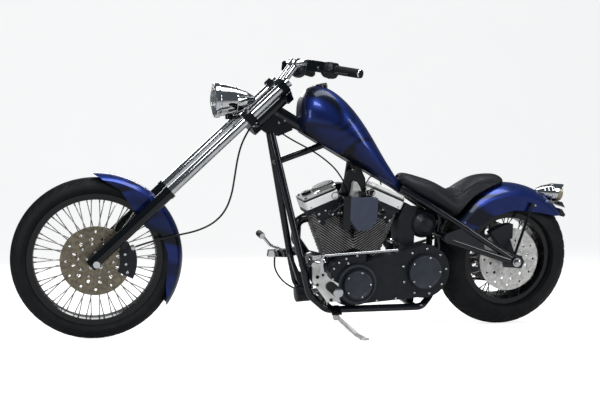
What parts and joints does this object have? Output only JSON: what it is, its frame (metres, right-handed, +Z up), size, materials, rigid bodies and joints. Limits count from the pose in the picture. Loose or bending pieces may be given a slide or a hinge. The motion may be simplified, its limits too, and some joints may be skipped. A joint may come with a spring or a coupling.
{
  "type": "chopper motorcycle",
  "caption": "Custom chopper motorcycle with a raked fork, air-cooled V-twin, blue paint and wire wheels, leaning on its side stand.",
  "frame": {"origin": "centre of the underside of the box round the whole machine, on the ground", "axes": "+X ahead, to the front wheel; +Y to the rider's left, the side it leans to; +Z up"},
  "size_m": [2.5349, 0.7956, 1.2192],
  "materials": {
    "tyre": "matt",
    "black_rim": "gloss",
    "spoke_steel": "bright",
    "bronze_disc": "satin",
    "steel_disc": "satin",
    "grey_alloy": "satin",
    "chrome": "polished",
    "gloss_black": "gloss",
    "satin_black": "satin",
    "grip_rubber": "matt",
    "lamp_glass": "clear",
    "blue_paint": "gloss",
    "frame_paint": "gloss",
    "hose_rubber": "satin",
    "case_alloy": "satin",
    "fin_alloy": "satin",
    "slate_blue": "satin",
    "seat_leather": "satin",
    "cream_lens": "gloss",
    "belt_rubber": "matt"
  },
  "bodies": {
    "chassis": {"air_cleaner": "chrome", "battery_box": "satin_black", "cam_cover": "chrome", "coil_cover": "slate_blue", "control_cable": "hose_rubber", "crankcase": "case_alloy", "drive_belt": "belt_rubber", "fender_struts": "gloss_black", "filler_cap": "gloss_black", "frame_backbone": "frame_paint", "frame_cradle_left": "frame_paint", "frame_cradle_right": "frame_paint", "frame_cross_tubes": "frame_paint", "front_cylinder": "fin_alloy", "front_exhaust": "gloss_black", "front_rocker_cover": "chrome", "fuel_tank": "blue_paint", "left_foot_control": "chrome", "oil_filter": "chrome", "oil_tank": "satin_black", "primary_cover": "satin_black", "rear_axle": "chrome", "rear_caliper": "satin_black", "rear_cylinder": "fin_alloy", "rear_exhaust": "gloss_black", "rear_fender": "blue_paint", "rear_frame_left": "frame_paint", "rear_frame_right": "frame_paint", "rear_rocker_cover": "chrome", "reservoir_hose": "hose_rubber", "right_foot_control": "chrome", "seat": "seat_leather", "tail_lamp": "chrome", "tail_lens": "cream_lens", "top_mount": "gloss_black", "transmission": "case_alloy"},
    "steering": {"fork_sliders": "gloss_black", "fork_tubes": "chrome", "front_axle": "chrome", "lower_clamp": "gloss_black", "upper_clamp": "gloss_black", "handlebar": "chrome", "grips": "grip_rubber", "hand_controls": "gloss_black", "headlamp_shell": "chrome", "headlamp_lens": "lamp_glass", "headlamp_mount": "gloss_black", "front_fender": "blue_paint", "front_caliper": "satin_black", "front_brake_hose": "hose_rubber"},
    "front_wheel": {"front_tyre": "tyre", "front_rim": "black_rim", "front_hub": "spoke_steel", "front_disc": "bronze_disc"},
    "rear_wheel": {"rear_tyre": "tyre", "rear_rim": "black_rim", "rear_hub": "spoke_steel", "rear_disc": "steel_disc", "rear_pulley": "grey_alloy"},
    "stand": {"side_stand": "steel_disc"}
  },
  "joints": [
    {"name": "steering_hinge", "type": "hinge", "parent": "chassis", "child": "steering", "pos_m": [0.19598, -0.00795, 0.96734], "axis": [-0.723, 0.0842, 0.6857], "range_deg": [-25, 25]},
    {"name": "front_wheel_spin", "type": "hinge", "parent": "steering", "child": "front_wheel", "pos_m": [0.9225, -0.08464, 0.34276], "axis": [0, 0.9925, -0.1219], "continuous": true},
    {"name": "rear_wheel_spin", "type": "hinge", "parent": "chassis", "child": "rear_wheel", "pos_m": [-0.9445, -0.08727, 0.32134], "axis": [0, 0.9925, -0.1219], "continuous": true},
    {"name": "side_stand_fold", "type": "hinge", "parent": "chassis", "child": "stand", "pos_m": [-0.0955, 0.05071, 0.08299], "axis": [0.0424, 0.4759, 0.8785], "range_deg": [0, 54.4]}
  ]
}
